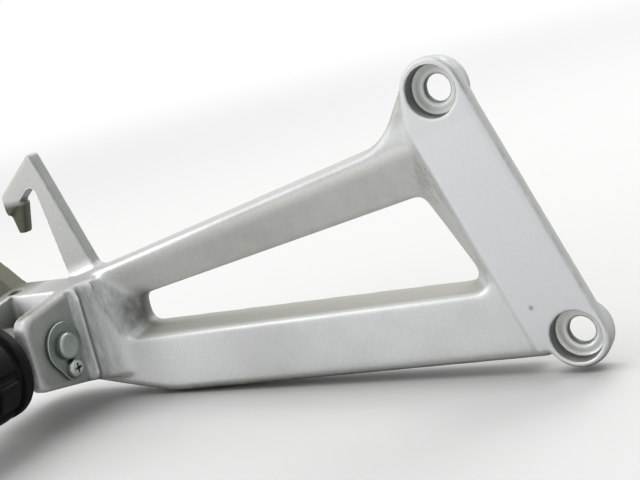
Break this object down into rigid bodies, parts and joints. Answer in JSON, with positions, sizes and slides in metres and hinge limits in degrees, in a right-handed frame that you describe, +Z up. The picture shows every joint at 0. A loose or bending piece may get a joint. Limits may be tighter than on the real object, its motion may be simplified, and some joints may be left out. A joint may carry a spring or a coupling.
{
  "type": "passenger footrest bracket",
  "caption": "Cast aluminium motorbike bracket with a bolted mounting plate, a triangular window between its arms, a luggage hook and a folding rubber-covered passenger footpeg.",
  "frame": {"origin": "centre of the two-bolt pattern, on the plane of the boss backs that meets the motorbike's frame", "axes": "+X to the front of the motorbike, +Y inboard through the boss backs, +Z up"},
  "size_m": [0.2658, 0.1347, 0.1079],
  "materials": {
    "bracket_alloy": "satin, hand polished on the outer faces, as cast on the sides",
    "plated_steel": "zinc plated, slightly dulled",
    "screw_steel": "zinc plated",
    "peg_alloy": "as cast",
    "peg_rubber": "moulded, matt with a slight sheen"
  },
  "bodies": {
    "bracket_body": {"bracket": "bracket_alloy", "pivot_pin": "plated_steel", "pin_plate": "plated_steel", "pin_screw": "screw_steel", "spring_washer": "screw_steel"},
    "peg_body": {"peg_bar": "peg_alloy", "peg_rubber": "peg_rubber"}
  },
  "joints": [
    {"name": "peg_fold", "type": "hinge", "parent": "bracket_body", "child": "peg_body", "pos_m": [-0.192, -0.029, -0.025], "axis": [-1, 0, 0], "range_deg": [0, 85]}
  ]
}
